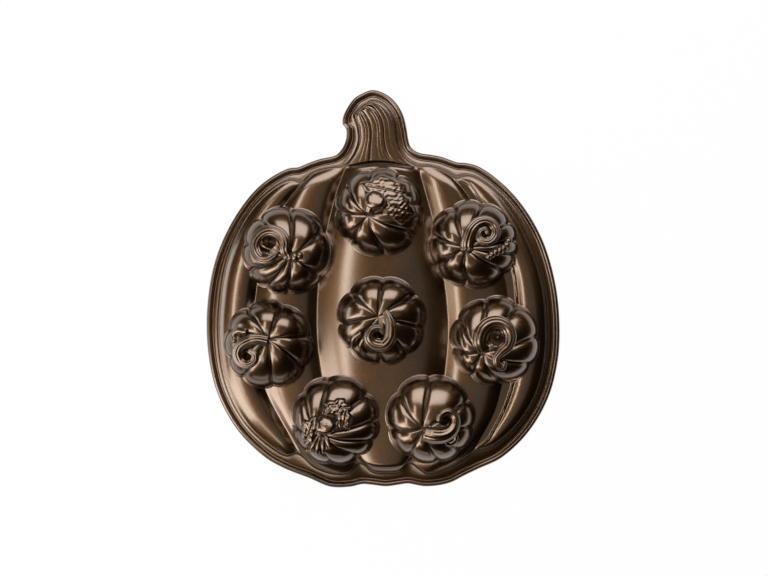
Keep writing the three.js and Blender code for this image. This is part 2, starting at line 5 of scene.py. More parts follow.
import bmesh
import bpy
import numpy as np
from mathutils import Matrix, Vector
from mathutils.bvhtree import BVHTree


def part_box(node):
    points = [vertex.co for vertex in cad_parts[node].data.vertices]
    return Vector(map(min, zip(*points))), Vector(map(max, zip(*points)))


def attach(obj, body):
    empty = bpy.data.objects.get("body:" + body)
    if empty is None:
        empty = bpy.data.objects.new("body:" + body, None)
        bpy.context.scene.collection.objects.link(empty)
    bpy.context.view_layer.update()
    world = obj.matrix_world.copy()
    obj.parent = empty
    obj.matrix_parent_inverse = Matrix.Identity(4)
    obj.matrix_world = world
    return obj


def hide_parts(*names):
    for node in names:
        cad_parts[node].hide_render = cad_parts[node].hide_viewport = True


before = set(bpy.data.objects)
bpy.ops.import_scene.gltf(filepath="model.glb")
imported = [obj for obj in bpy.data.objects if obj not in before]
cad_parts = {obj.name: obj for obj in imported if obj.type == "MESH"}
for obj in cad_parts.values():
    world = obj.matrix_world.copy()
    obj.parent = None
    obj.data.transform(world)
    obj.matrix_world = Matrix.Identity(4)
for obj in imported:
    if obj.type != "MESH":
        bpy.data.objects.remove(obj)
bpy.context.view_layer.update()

# Lengths here are in millimetres until MM brings them to metres
MM = 0.001

# Casting
WALL = 3.0
FLANGE = 3.4
BEAD_TOP = 5.5
BEAD_ROUND = 2.3
CHANNEL_FLOOR = 2.6
PANEL_LEVEL = 8.0

# The rim's section, as distance and height. Bead and foot rows are measured from the pan's edge, step and
# under rows from the top of the step.
BEAD_ROWS = [
    (2.9, 5.35), (3.4, 4.95), (3.8, 4.35), (4.1, 3.6), (4.4, 2.95), (4.85, 2.62), (5.35, CHANNEL_FLOOR),
    (5.85, 2.85), (6.25, 3.2), (6.6, FLANGE),
]
STEP_ROWS = [
    (-2.7, FLANGE), (-2.4, FLANGE + 0.06), (-2.15, FLANGE + 0.3), (-1.95, FLANGE + 0.9),
    (-1.7, FLANGE + 2.0), (-1.45, PANEL_LEVEL - 1.7), (-1.2, PANEL_LEVEL - 1.0), (-0.9, PANEL_LEVEL - 0.5),
    (-0.5, PANEL_LEVEL - 0.15), (0.0, PANEL_LEVEL), (0.35, PANEL_LEVEL - 0.15), (0.6, PANEL_LEVEL - 0.5),
]
UNDER_ROWS = [(0.6, PANEL_LEVEL - WALL), (-0.6, 4.4), (-2.2, 2.4), (-3.4, 0.5), (-4.0, 0.12), (-4.6, 0)]
FOOT_ROWS = [(1.3, 0), (0.6, 0.15), (0.15, 0.6), (0, 1.2), (0, BEAD_TOP - BEAD_ROUND)]

# Lobes of the panel
VALLEY_ROUND = 0.8
ARCH_POWER = 2.8
END_POWER = 2.2
END_FALL = 17.0
MIDDLE_TOP_FALL = 6.0
MIDDLE_FOOT_FALL = 8.0
CHANNEL_RIDGE = 0.9
CHANNEL_RIDGE_WIDTH = 0.8
CHANNEL_RIDGE_FADE = 3.0
CHANNEL_MOST_SHARE = 0.5
LOBE_LEAST_WIDTH = 0.01
NARROW_LOBE_WIDTH = 26.0

# Handle: its grooves and finer creases, and how wide these are, are shares of its width, from the left
HANDLE_GROOVES = [0.0, 0.33, 0.7, 1.0]
HANDLE_CREASES = [0.15, 0.24, 0.5, 0.58, 0.86]
HANDLE_CROWN = 0.4
HANDLE_CROWN_POWER = 0.8
HANDLE_RIB_LOW = 0.06
HANDLE_RIB_HIGH = 2.4
HANDLE_RIB_FADE = 8.0
HANDLE_RIB_ROUND = 0.01
HANDLE_GROOVE_DEPTH = 0.8
HANDLE_GROOVE_WIDTH = 0.013
HANDLE_CREASE_LOW = 0.05
HANDLE_CREASE_HIGH = 0.7
HANDLE_CREASE_WIDTH = 0.011
HANDLE_END_ROUND = 5.0
HANDLE_FOOT_DROP = 2.6
HANDLE_FOOT_REACH = 2.2
HANDLE_FOOT_POWER = 1.5

# Cups
CUP_RADIUS = 36.4
DOME_TOP = 38.0
INNER_START_ANGLE = 0.45
FOOT_LIFT = 2.2
FOOT_REACH = 7
FOOT_MOST_SINK = 0.7
GROOVE_DEPTH = 3.5
GROOVE_BASE_DEPTH = 2.8
GROOVE_FADE_RADIUS = 21.0
INNER_GROOVE_SHARE = 0.8
SAG_SHARE = 0.14
SAG_REACH_SHARE = 0.6
DOME_ROUND_POWER = 2.3
POLE_SHIFT_POWER = 3.0
CROWN_POWER = 2.2
CROWN_SHARE_TOP = 0.42
CROWN_SHARE_FOOT = 0.75
CREASE_WIDTH = 0.1
CREASE_ROUND = 0.035
HOLE_INSET = 0.3

# Rows of a cup between its skirt and its mouth: distance outwards from the skirt, and height over the
# panel's upper face or its underside
LIP_ROWS = [
    (0.02, 1.2), (0.08, 0.75), (0.25, 0.42), (0.55, 0.28), (0.9, 0.22), (1.2, 0.16), (1.45, 0.02),
    (1.6, -0.2), (1.7, -0.6),
]
MOUTH_ROWS = [
    (2.5, 0.6), (2.4, -0.05), (0.8, -0.08), (-0.6, -0.06), (-1.4, 0.1), (-2.1, 0.45), (-2.6, 1.0),
    (-2.9, 1.8), (-3.0, 3.0),
]

# Stalks on the cups. Rise, start, end and the depths of flutes and rings are shares of the half width.
STALK_RISE = 0.95
STALK_ROOT = 2.9
STALK_START = 0.5
STALK_END = 0.9
STALK_AIM_STEP = 0.6
STALK_SQUARE_POWER = 2.1
STALK_UPPER_LIMIT = -0.01
FLUTE_DEPTH = 0.15
RING_DEPTH = 0.28
FLUTE_POWER = 0.6
PIT_DEPTH = 12.0
PIT_SPREAD = 1.15
PIT_CREASE_FADE = 3

# Waves are depth, how many go round and where they start. A ring's place is a share of the way out.
KNOB_RISE = 5.0
KNOB_LEAN = 0.36
KNOB_ROUND_POWER = 3
KNOB_RING_DEPTH = 0.12
KNOB_RING_PLACE = 0.78
KNOB_RING_WIDTH = 0.07
KNOB_WAVES = [(0.04, 3, 1), (0.02, 7, 0)]
LEAF_RISE = 2.4
LEAF_EDGE_POWER = 6
LEAF_RING_RISE = 0.4
LEAF_RING_PLACE = 0.8
LEAF_RING_WIDTH = 0.12
LEAF_VEIN_DEPTH = 0.6
LEAF_VEIN_WIDTH = 0.8
LEAF_WAVES = [(0.13, 5, 0), (0.05, 11, 1)]
# Waves whose sum crinkles a leaf: how fast each runs along and across it, per millimetre, and its start
CRINKLES = [(1.0, 0.4, 0.3), (-0.5, 1.1, 1.7), (1.3, -1.0, 0.9), (0.2, -1.8, 2.6), (-1.9, 0.7, 4.0)]

# Coating. A noise is its scale over a metre, its detail and its roughness.
DEEP_BRONZE = (0.078, 0.034, 0.009, 1)
WARM_BRONZE = (0.114, 0.055, 0.017, 1)
PALE_FLAKE = (0.36, 0.22, 0.115, 1)
FLAKE_NOISE = (1500.0, 1.0, 0.5)
GRAIN_NOISE = (420.0, 2.0, 0.5)
SMUDGE_NOISE = (60.0, 3.0, 0.55)
CLOUD_NOISE = (14.0, 4.0, 0.6)
CLOUD_START = 0.35
CLOUD_GAIN = 2.2
FLAKE_START = 0.55
FLAKE_GAIN = 2.4
FLAKE_SHARE = 0.45
GRAIN_SHARE = 0.8
METAL_ROUGHNESS = 0.33
ROUGHNESS_SPREAD = 0.1
COAT_ROUGHNESS = 0.18
COAT_IOR = 1.72
GRAIN_STRENGTH = 0.1
GRAIN_DEPTH = 0.0002

# Staging, in metres. A lamp is degrees from overhead, degrees from the pan's right, how many degrees it
# covers sideways and upwards, how bright it looks, and its colour.
LAMP_REACH = 1.8
LAMP_POWER = 4
LAMPS = {
    "window_left": (47, 209, (20, 42), 5.0, (1, 0.96, 0.88)),
    "window_top": (43, 84, (60, 34), 3.3, (0.98, 0.98, 1.0)),
    "panel_left": (17, 168, (28, 7), 6.6, (1, 0.94, 0.82)),
    "panel_low": (24, 240, (20, 11), 2.4, (1, 0.94, 0.82)),
    "panel_high": (11, 325, (30, 22), 0.2, (1, 0.96, 0.9)),
    "panel_side": (74, 185, (50, 16), 2.8, (0.95, 0.98, 1.03)),
    "panel_near": (78, 268, (60, 12), 0.9, (1, 0.98, 0.95)),
}
WORLD_LEVEL = 0.004
FLOOR_REACH = 4
FLOOR_COLOUR = (0.8, 0.8, 0.8, 1)
FLOOR_GLOW_SHARE = 0.96
CAMERA_DISTANCE = 1.3
CAMERA_SHIFT = (0.0007, 0.0006, 0.003)
CAMERA_SENSOR = 36
CAMERA_FAR = 20
VIEW_WIDTH = 0.6376

# Mesh steps
PETAL_COLUMNS = 36
PETAL_PULL = 0.6
CUP_DOME_ROWS = 60
CUP_INNER_ROWS = 26
LOBE_COLUMNS = 60
LOBE_ROWS = 260
LOBE_PULL = 0.88
HANDLE_COLUMNS = 160
HANDLE_ROWS = 100
STALK_COLUMNS = 48
STALK_END_ROWS = 24
STALK_SPAN_ROWS = 12
LEAF_COLUMNS = 96
LEAF_ROWS = 48
KNOB_COLUMNS = 64
KNOB_ROWS = 32
BEAD_STEPS = 8
RIM_SPACING = 1.4
SPAN_SAMPLES = 40
CREST_SAMPLES = 401
SEARCH_STEPS = 30
SMOOTH_ANGLE = math.radians(55)
MERGE_DISTANCE = 0.002
NEARLY_ZERO = 1e-9

# The outline in sections, clockwise from the handle's cut end. A row is a point of the pan's edge, and the
# point of the step's top that faces it: x, y, x, y as shares of half the pan's length.
OUTLINE_SHARES = {
    "handle_end": [
        [-0.199, 0.872, -0.137, 0.873], [-0.152, 0.95, -0.109, 0.897], [-0.115, 0.976, -0.084, 0.917],
    ],
    "handle_right": [
        [-0.053, 0.998, -0.056, 0.935], [0.018, 0.974, -0.016, 0.927], [0.066, 0.931, 0.019, 0.894],
        [0.1, 0.872, 0.042, 0.849], [0.117, 0.806, 0.051, 0.794], [0.127, 0.746, 0.059, 0.736],
        [0.136, 0.716, 0.077, 0.686], [0.148, 0.701, 0.102, 0.648], [0.167, 0.688, 0.135, 0.623],
    ],
    "right_top": [
        [0.193, 0.679, 0.175, 0.605], [0.235, 0.673, 0.226, 0.606], [0.289, 0.663, 0.276, 0.594],
        [0.335, 0.647, 0.321, 0.572],
    ],
    "far_right_side": [
        [0.373, 0.634, 0.367, 0.545], [0.415, 0.631, 0.404, 0.557], [0.48, 0.613, 0.452, 0.552],
        [0.597, 0.53, 0.555, 0.484], [0.707, 0.409, 0.651, 0.366], [0.803, 0.24, 0.733, 0.205],
        [0.865, 0.031, 0.792, 0.019], [0.887, -0.165, 0.812, -0.167], [0.879, -0.361, 0.806, -0.348],
        [0.83, -0.552, 0.762, -0.525], [0.731, -0.723, 0.673, -0.673], [0.595, -0.853, 0.548, -0.781],
    ],
    "right_bottom": [
        [0.48, -0.908, 0.457, -0.811], [0.411, -0.941, 0.38, -0.864], [0.329, -0.981, 0.301, -0.902],
        [0.213, -0.997, 0.216, -0.919],
    ],
    "middle_bottom": [
        [0.123, -0.983, 0.133, -0.869], [0.084, -0.988, 0.085, -0.912], [0.015, -0.997, 0.014, -0.922],
        [-0.06, -0.989, -0.056, -0.913],
    ],
    "left_bottom": [
        [-0.104, -0.986, -0.119, -0.869], [-0.165, -0.999, -0.172, -0.917],
        [-0.265, -0.999, -0.252, -0.922], [-0.376, -0.954, -0.343, -0.889],
    ],
    "far_left_side": [
        [-0.464, -0.921, -0.428, -0.821], [-0.511, -0.9, -0.479, -0.834], [-0.592, -0.853, -0.549, -0.799],
        [-0.734, -0.713, -0.685, -0.675], [-0.837, -0.522, -0.781, -0.494],
        [-0.883, -0.306, -0.819, -0.293], [-0.884, -0.074, -0.817, -0.087], [-0.842, 0.152, -0.782, 0.13],
        [-0.743, 0.365, -0.69, 0.343], [-0.617, 0.52, -0.572, 0.479], [-0.481, 0.602, -0.466, 0.537],
    ],
    "left_top": [
        [-0.426, 0.61, -0.411, 0.526], [-0.381, 0.629, -0.358, 0.569], [-0.318, 0.651, -0.303, 0.59],
        [-0.268, 0.661, -0.245, 0.6],
    ],
    "handle_left": [
        [-0.236, 0.672, -0.189, 0.608], [-0.205, 0.707, -0.139, 0.668], [-0.189, 0.746, -0.114, 0.738],
        [-0.185, 0.776, -0.114, 0.776], [-0.188, 0.803, -0.12, 0.814], [-0.205, 0.829, -0.13, 0.844],
    ],
}

# The grooves between the lobes, from the foot of the pan to the top
GROOVE_SHARES = {
    "far_left": [[-0.428, -0.821], [-0.469, -0.741], [-0.529, -0.635], [-0.589, -0.514], [-0.638, -0.33],
                 [-0.648, -0.132], [-0.61, 0.135], [-0.559, 0.286], [-0.484, 0.431], [-0.411, 0.526]],
    "left": [[-0.119, -0.869], [-0.182, -0.786], [-0.242, -0.66], [-0.288, -0.535], [-0.33, -0.258],
             [-0.325, 0.029], [-0.283, 0.296], [-0.227, 0.507], [-0.189, 0.608]],
    "right": [[0.133, -0.869], [0.185, -0.801], [0.241, -0.686], [0.284, -0.56], [0.323, -0.233],
              [0.305, 0.034], [0.251, 0.321], [0.216, 0.462], [0.175, 0.605]],
    "far_right": [[0.457, -0.811], [0.492, -0.748], [0.53, -0.681], [0.565, -0.605], [0.599, -0.474],
                  [0.623, -0.348], [0.635, -0.218], [0.63, -0.082], [0.613, 0.044], [0.573, 0.17],
                  [0.512, 0.311], [0.442, 0.442], [0.367, 0.545]],
}
# The far side of the flat channel along the last groove
CHANNEL_SHARES = [[0.485, -0.809], [0.533, -0.738], [0.573, -0.665], [0.606, -0.6], [0.648, -0.479],
                  [0.668, -0.348], [0.676, -0.208], [0.67, -0.057], [0.653, 0.084], [0.613, 0.195],
                  [0.56, 0.316], [0.472, 0.462], [0.404, 0.557]]
HANDLE_FOOT_SHARES = [[-0.189, 0.608], [-0.106, 0.625], [-0.016, 0.633], [0.085, 0.625], [0.175, 0.605]]

LOBE_RISE = {"far_left": 4.5, "left": 4.5, "middle": 6.5, "right": 3.5, "far_right": 3.0}
LOBE_GROOVES = {"left": ("far_left", "left"), "middle": ("left", "right"), "right": ("right", "far_right")}
LOBE_NODES = {
    "far_left": ["lobe_far_left"],
    "left": ["lobe_left_upper", "lobe_left_lower"],
    "middle": ["lobe_middle"],
    "right": ["lobe_right_upper", "lobe_right_lower"],
    "far_right": ["lobe_far_right"],
}

# The cups. place: shares of half the pan's length. pole, bars, leaves, pits and knobs: shares of the cup's
# radius. creases: degrees at which the creases between the petals leave the pole.
# A bar row is x, y, half width. A leaf is x, y, half length, half width, its turn in degrees and how many
# millimetres deep its crinkles are. A pit, which is the dark eye of a coil, and a knob, which is the cut
# end of a stalk, are x, y, radius.
CUPS = {
    "cup_top": dict(
        place=(-0.021, 0.381), pole=(-0.24, -0.11),
        creases=(10, 61, 101, 142, 176, 227, 277, 327),
        bars=[
            dict(flutes=5, rows=[(-0.22, -0.03, 0.12), (-0.18, 0.06, 0.15), (-0.12, 0.14, 0.18)]),
        ],
        leaves=[(0.18, 0.47, 0.54, 0.33, 168, 0.075), (0.46, 0.03, 0.38, 0.32, -15, 0.075)],
        knobs=[(-0.085, 0.256, 0.25)],
    ),
    "cup_top_right": dict(
        place=(0.447, 0.219), pole=(-0.19, -0.09),
        creases=(5, 31, 78, 119, 167, 211, 259, 316, 345),
        bars=[
            dict(flutes=4, rows=[
                (-0.17, -0.13, 0.16), (-0.15, 0.08, 0.15), (-0.07, 0.3, 0.14), (0.08, 0.46, 0.132),
                (0.27, 0.5, 0.126), (0.43, 0.4, 0.12), (0.47, 0.21, 0.112), (0.37, 0.06, 0.102),
                (0.21, 0.03, 0.092), (0.1, 0.13, 0.08), (0.12, 0.27, 0.066), (0.23, 0.31, 0.055),
                (0.3, 0.23, 0.05)]),
            dict(rings=7, rows=[
                (0.79, 0.11, 0.08), (0.71, -0.05, 0.1), (0.57, -0.15, 0.1), (0.42, -0.22, 0.09),
                (0.31, -0.3, 0.08)]),
        ],
    ),
    "cup_right": dict(
        place=(0.557, -0.261), pole=(-0.31, -0.24),
        creases=(6, 59, 103, 150, 191, 236, 275, 325),
        bars=[
            dict(flutes=3, rows=[
                (-0.3, -0.2, 0.15), (-0.39, 0.0, 0.156), (-0.33, 0.24, 0.158), (-0.17, 0.39, 0.158),
                (0.03, 0.42, 0.156), (0.22, 0.32, 0.152), (0.3, 0.12, 0.147), (0.24, -0.1, 0.135),
                (0.08, -0.24, 0.12), (-0.02, -0.38, 0.09), (0.02, -0.54, 0.075), (0.14, -0.58, 0.07),
                (0.17, -0.47, 0.055)]),
        ],
        pits=[(0.02, 0.085, 0.16)],
    ),
    "cup_bottom_right": dict(
        place=(0.234, -0.651), pole=(-0.16, -0.18),
        creases=(27, 91, 141, 193, 239, 280, 314, 350),
        bars=[
            dict(flutes=5, rows=[
                (-0.12, -0.28, 0.18), (0.07, -0.31, 0.195), (0.28, -0.3, 0.185), (0.46, -0.2, 0.155),
                (0.54, -0.03, 0.125), (0.51, 0.13, 0.11), (0.37, 0.22, 0.1), (0.23, 0.15, 0.09),
                (0.18, 0.03, 0.075)]),
            dict(rows=[
                (0.56, -0.33, 0.06), (0.52, -0.46, 0.065), (0.39, -0.51, 0.06), (0.31, -0.42, 0.05)]),
        ],
        pits=[(0.32, 0.0, 0.1)],
    ),
    "cup_bottom_left": dict(
        place=(-0.241, -0.659), pole=(-0.29, -0.24),
        creases=(2, 40, 99, 139, 186, 226, 265, 305, 332),
        bars=[
            dict(flutes=5, rows=[(-0.31, -0.27, 0.12), (-0.26, -0.18, 0.14), (-0.2, -0.08, 0.17)]),
            dict(rows=[(-0.36, -0.24, 0.05), (-0.5, -0.36, 0.055), (-0.62, -0.5, 0.045)]),
            dict(rows=[(-0.34, -0.28, 0.05), (-0.44, -0.45, 0.058), (-0.5, -0.62, 0.048)]),
            dict(rows=[(-0.3, -0.3, 0.05), (-0.35, -0.47, 0.06), (-0.37, -0.67, 0.05)]),
            dict(rows=[(-0.26, -0.29, 0.05), (-0.25, -0.46, 0.058), (-0.23, -0.64, 0.048)]),
            dict(rows=[(-0.21, -0.26, 0.05), (-0.15, -0.4, 0.055), (-0.1, -0.54, 0.045)]),
        ],
        leaves=[
            (0.07, 0.34, 0.31, 0.2, 0, 0.15), (0.24, 0.06, 0.22, 0.19, 80, 0.13),
            (-0.53, -0.16, 0.31, 0.21, 70, 0.15),
        ],
        knobs=[(-0.19, -0.04, 0.23)],
    ),
    "cup_left": dict(
        place=(-0.571, -0.279), pole=(0.03, 0.13),
        creases=(11, 70, 121, 159, 199, 232, 276, 328),
        bars=[
            dict(flutes=4, rows=[
                (0.0, 0.09, 0.125), (-0.2, 0.13, 0.125), (-0.42, 0.1, 0.125), (-0.6, -0.02, 0.12),
                (-0.67, -0.2, 0.115), (-0.59, -0.38, 0.108), (-0.42, -0.43, 0.1), (-0.28, -0.34, 0.09),
                (-0.27, -0.2, 0.078), (-0.38, -0.13, 0.06)]),
            dict(rows=[
                (-0.47, 0.31, 0.075), (-0.63, 0.32, 0.085), (-0.75, 0.22, 0.08), (-0.73, 0.09, 0.06)]),
        ],
        pits=[(-0.45, -0.26, 0.09)],
    ),
    "cup_top_left": dict(
        place=(-0.479, 0.189), pole=(0.11, -0.13),
        creases=(28, 83, 129, 172, 209, 241, 271, 322),
        bars=[
            dict(flutes=4, rows=[
                (0.06, -0.16, 0.12), (-0.01, 0.0, 0.13), (-0.01, 0.17, 0.132), (-0.12, 0.35, 0.132),
                (-0.33, 0.43, 0.132), (-0.54, 0.36, 0.13), (-0.67, 0.18, 0.128), (-0.67, -0.03, 0.128),
                (-0.54, -0.19, 0.13), (-0.36, -0.2, 0.12), (-0.23, -0.1, 0.085), (-0.3, -0.02, 0.06)]),
            dict(rings=3, rows=[(0.05, -0.18, 0.09), (0.18, -0.17, 0.13), (0.32, -0.13, 0.09)]),
        ],
        pits=[(-0.36, 0.18, 0.13)],
    ),
    "cup_centre": dict(
        place=(-0.009, -0.16), pole=(-0.07, 0.08),
        creases=(37, 88, 138, 186, 222, 268, 307, 350),
        bars=[
            dict(flutes=3, rows=[
                (0.09, 0.21, 0.075), (0.16, 0.07, 0.115), (0.22, -0.15, 0.145), (0.19, -0.38, 0.158),
                (0.03, -0.54, 0.163), (-0.18, -0.51, 0.15), (-0.28, -0.35, 0.125), (-0.2, -0.19, 0.1),
                (-0.04, -0.16, 0.085), (0.05, -0.25, 0.07)]),
            dict(rows=[
                (-0.47, -0.27, 0.06), (-0.6, -0.4, 0.075), (-0.6, -0.58, 0.075), (-0.48, -0.66, 0.06)]),
            dict(rows=[(-0.4, -0.42, 0.05), (-0.45, -0.56, 0.06), (-0.36, -0.7, 0.055)]),
        ],
        pits=[(-0.07, -0.32, 0.1)],
    ),
}


# Curves


def spline(points, closed=False):
    """A smooth curve through the points, whose speed follows the square root of each span."""
    points = np.asarray(points, float)
    if closed:
        ring = np.vstack([points[-1:], points, points[:2]])
    else:
        ring = np.vstack([2 * points[:1] - points[1:2], points, 2 * points[-1:] - points[-2:-1]])
    spans = len(ring) - 3
    t = np.linspace(0, 1, SPAN_SAMPLES, endpoint=False)[:, None]
    pieces = []
    for k in range(spans):
        before, start, end, after = ring[k:k + 4]
        lead, span, tail = (math.sqrt(np.linalg.norm(b - a)) for a, b in
                            ((before, start), (start, end), (end, after)))
        leave = ((start - before) / lead - (end - before) / (lead + span) + (end - start) / span) * span
        arrive = ((end - start) / span - (after - start) / (span + tail) + (after - end) / tail) * span
        cubic = 2 * start - 2 * end + leave + arrive
        square = -3 * start + 3 * end - 2 * leave - arrive
        pieces.append(cubic * t ** 3 + square * t ** 2 + leave * t + start)
    if not closed:
        pieces.append(points[-1:])
    return np.vstack(pieces)


def distances(curve):
    """How far along the curve each of its points lies."""
    return np.concatenate([[0], np.cumsum(np.linalg.norm(np.diff(curve, axis=0), axis=1))])


def points_at(wanted, lengths, curve):
    """The curve's points at the wanted distances. lengths: the distance of each point that it has."""
    return np.column_stack([np.interp(wanted, lengths, curve[:, k]) for k in (0, 1)])


def along(curve):
    """A function from a share of the curve's length to a point of it."""
    lengths = distances(curve)
    total = max(lengths[-1], NEARLY_ZERO)
    return lambda share: points_at(share * total, lengths, curve)


def rays(turn):
    """Flat arrows of length one, turned from the pan's right."""
    return np.column_stack([np.cos(turn), np.sin(turn)])


def clustered(t, pull):
    """Shares from 0 to 1, pulled towards both ends."""
    return t - pull * np.sin(2 * math.pi * t) / (2 * math.pi)


def wavy(spin, waves):
    """A circle's radius with waves round it, each by its depth, how many go round, and its start."""
    return sum((depth * np.cos(count * spin + start) for depth, count, start in waves), start=1)


outline_rows = np.array([row for rows in OUTLINE_SHARES.values() for row in rows])
edge_line = spline(outline_rows[:, :2], closed=True)
step_line = spline(outline_rows[:, 2:], closed=True)
rim_low, rim_high = (np.array(corner[:2]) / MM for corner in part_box("rim"))
outline_low, outline_high = edge_line.min(axis=0), edge_line.max(axis=0)
share_length = (rim_high - rim_low)[1] / (outline_high - outline_low)[1]
outline_centre = (outline_low + outline_high) / 2


def placed(shares):
    return (np.asarray(shares, float) - outline_centre) * share_length


edge_line = placed(edge_line)
step_line = placed(step_line)


def section(name):
    """The stretch of the step's top that one section covers, its last point included."""
    names = list(OUTLINE_SHARES)
    first = sum(len(OUTLINE_SHARES[other]) for other in names[:names.index(name)])
    count = len(OUTLINE_SHARES[name])
    ring = np.vstack([step_line, step_line[:1]])
    return ring[first * SPAN_SAMPLES:(first + count) * SPAN_SAMPLES + 1]


# Meshes


def lattice(bm, columns, rows, place):
    """Adds a grid and moves its corners to place(u, v), in millimetres, u and v running from 0 to 1."""
    corners = bmesh.ops.create_grid(bm, x_segments=columns, y_segments=rows, size=0.5)["verts"]
    shares = np.array([corner.co[:2] for corner in corners]) + 0.5
    shares = np.rint(shares * (columns, rows)) / (columns, rows)
    for corner, point in zip(corners, place(shares[:, 0], shares[:, 1]) * MM):
        corner.co = point


def spun(bm, columns, rows, place):
    """Spins an upright line of rows steps into a tube and moves each corner to place(turn, v)."""
    foot = bmesh.ops.create_vert(bm, co=(1, 0, 0))["vert"]
    line = list(foot)
    for row in range(rows):
        made = bmesh.ops.extrude_vert_indiv(bm, verts=[line[-1]])
        made["verts"][0].co.z = (row + 1) / rows
        line.append(made["verts"][0])
    edges = [edge for edge in bm.edges if edge.verts[0] in set(line) and edge.verts[1] in set(line)]
    bmesh.ops.spin(bm, geom=line + edges, cent=(0, 0, 0), axis=(0, 0, 1), angle=2 * math.pi,
                   steps=columns, use_merge=True)
    corners = list(bm.verts)
    places = np.array([corner.co for corner in corners])
    turn = np.arctan2(places[:, 1], places[:, 0])
    turn = np.rint(turn / (2 * math.pi) * columns) / columns * 2 * math.pi
    height = np.rint(places[:, 2] * rows) / rows
    for corner, point in zip(corners, place(turn, height) * MM):
        corner.co = point


def thickened(bm):
    """Gives a sheet the casting's wall, downwards."""
    lower = bmesh.ops.extrude_face_region(bm, geom=bm.faces[:], use_keep_orig=True)["geom"]
    for vert in lower:
        if isinstance(vert, bmesh.types.BMVert):
            vert.co.z -= WALL * MM


def finished(name, bm, *nodes):
    """Turns a bmesh into a piece that stands for the nodes and rides on the pan."""
    bmesh.ops.remove_doubles(bm, verts=bm.verts, dist=MERGE_DISTANCE * MM)
    bmesh.ops.dissolve_degenerate(bm, dist=MERGE_DISTANCE * MM, edges=bm.edges)
    bmesh.ops.recalc_face_normals(bm, faces=bm.faces)
    mesh = bpy.data.meshes.new(name)
    bm.to_mesh(mesh)
    bm.free()
    mesh.shade_smooth()
    mesh.set_sharp_from_angle(angle=SMOOTH_ANGLE)
    mesh.materials.append(bronze)
    piece = bpy.data.objects.new(name, mesh)
    bpy.context.scene.collection.objects.link(piece)
    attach(piece, "root")
    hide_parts(*nodes)


# Materials


class Value:
    """A socket that can be added to, taken from and multiplied."""

    def __init__(self, tree, socket):
        self.tree = tree
        self.socket = socket

    def math(self, operation, *others):
        node = self.tree.node("ShaderNodeMath", dict(operation=operation),
                              {k: other for k, other in enumerate((self,) + others)})
        return node.out(0)

    def __add__(self, other):
        return self.math("ADD", other)

    def __mul__(self, other):
        return self.math("MULTIPLY", other)

    def __sub__(self, other):
        return self.math("SUBTRACT", other)

    def __rsub__(self, other):
        return (self * -1) + other

    __radd__ = __add__
    __rmul__ = __mul__

    def clamp(self):
        return self.math("MAXIMUM", 0).math("MINIMUM", 1)


class Node:
    def __init__(self, tree, node):
        self.tree = tree
        self.node = node

    def out(self, key):
        return Value(self.tree, self.node.outputs[key])


class Tree:
    """The node tree of one finish."""

    def __init__(self, name):
        self.material = bpy.data.materials.new(name)
        self.material.use_nodes = True
        self.nodes = self.material.node_tree.nodes
        self.links = self.material.node_tree.links
        self.nodes.clear()

    def node(self, kind, settings=None, inputs=None):
        made = self.nodes.new(kind)
        for key, value in (settings or {}).items():
            setattr(made, key, value)
        for key, value in (inputs or {}).items():
            if isinstance(value, Value):
                self.links.new(value.socket, made.inputs[key])
            else:
                made.inputs[key].default_value = value
        return Node(self, made)

    def mix(self, share, low, high):
        return self.node("ShaderNodeMix", dict(data_type="RGBA"), {0: share, 6: low, 7: high}).out(2)

    def noise(self, where, scale, detail, roughness):
        return self.node("ShaderNodeTexNoise", None, {
            "Vector": where, "Scale": scale, "Detail": detail, "Roughness": roughness}).out("Fac")

    def surface(self, shader):
        self.node("ShaderNodeOutputMaterial", None, {"Surface": shader})
        return self.material


def bronze_coating():
    """Dark bronze baked on cast metal under a clear coat: flakes, soft clouds, a slightly uneven sheen."""
    tree = Tree("bronze_coating")
    where = tree.node("ShaderNodeTexCoord").out("Object")
    flakes = tree.noise(where, *FLAKE_NOISE)
    clouds = tree.noise(where, *CLOUD_NOISE)
    smudge = tree.noise(where, *SMUDGE_NOISE)
    base = tree.mix(((clouds - CLOUD_START) * CLOUD_GAIN).clamp(), DEEP_BRONZE, WARM_BRONZE)
    base = tree.mix(((flakes - FLAKE_START) * FLAKE_GAIN).clamp() * FLAKE_SHARE, base, PALE_FLAKE)
    roughness = METAL_ROUGHNESS + (smudge - 0.5) * ROUGHNESS_SPREAD + (flakes - 0.5) * ROUGHNESS_SPREAD
    grain = tree.node("ShaderNodeBump", None, {
        "Strength": GRAIN_STRENGTH, "Distance": GRAIN_DEPTH,
        "Height": flakes + tree.noise(where, *GRAIN_NOISE) * GRAIN_SHARE})
    shader = tree.node("ShaderNodeBsdfPrincipled", None, {
        "Base Color": base, "Roughness": roughness, "Metallic": 1.0, "Normal": grain.out("Normal"),
        "Coat Weight": 1.0, "Coat Roughness": COAT_ROUGHNESS, "Coat IOR": COAT_IOR})
    return tree.surface(shader.out("BSDF"))


bronze = bronze_coating()


# Rim


def rim_section(width):
    """Distance from the pan's edge and height of the rim's points. width: from edge to the step's top."""
    quarter = np.linspace(0, math.pi / 2, BEAD_STEPS + 1)[1:]
    bead = [(BEAD_ROUND * (1 - math.cos(t)), BEAD_TOP - BEAD_ROUND * (1 - math.sin(t))) for t in quarter]
    step = [(width + distance, height) for distance, height in STEP_ROWS + UNDER_ROWS]
    return np.array(bead + BEAD_ROWS + step + FOOT_ROWS)


